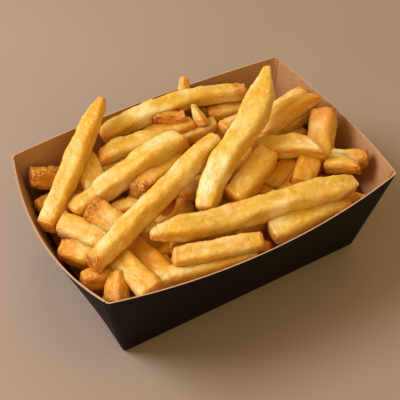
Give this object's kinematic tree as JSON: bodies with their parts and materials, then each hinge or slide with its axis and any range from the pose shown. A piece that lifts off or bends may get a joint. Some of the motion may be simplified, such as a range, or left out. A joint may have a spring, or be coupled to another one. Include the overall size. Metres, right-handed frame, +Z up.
{
  "type": "french fries in a paperboard tray",
  "caption": "Heap of thick-cut french fries in an open folded paperboard tray, black outside and kraft inside.",
  "frame": {"origin": "middle of the tray's underside", "axes": "+X along the tray's long sides, +Y across it towards the back wall, +Z up"},
  "size_m": [0.1602, 0.112, 0.0733],
  "materials": {
    "board": "matt black outside, bare kraft brown inside",
    "fried_potato": "crisp golden crust with a thin film of oil"
  },
  "bodies": {
    "root": {"tray": "board", "fries": "fried_potato"}
  },
  "joints": []
}
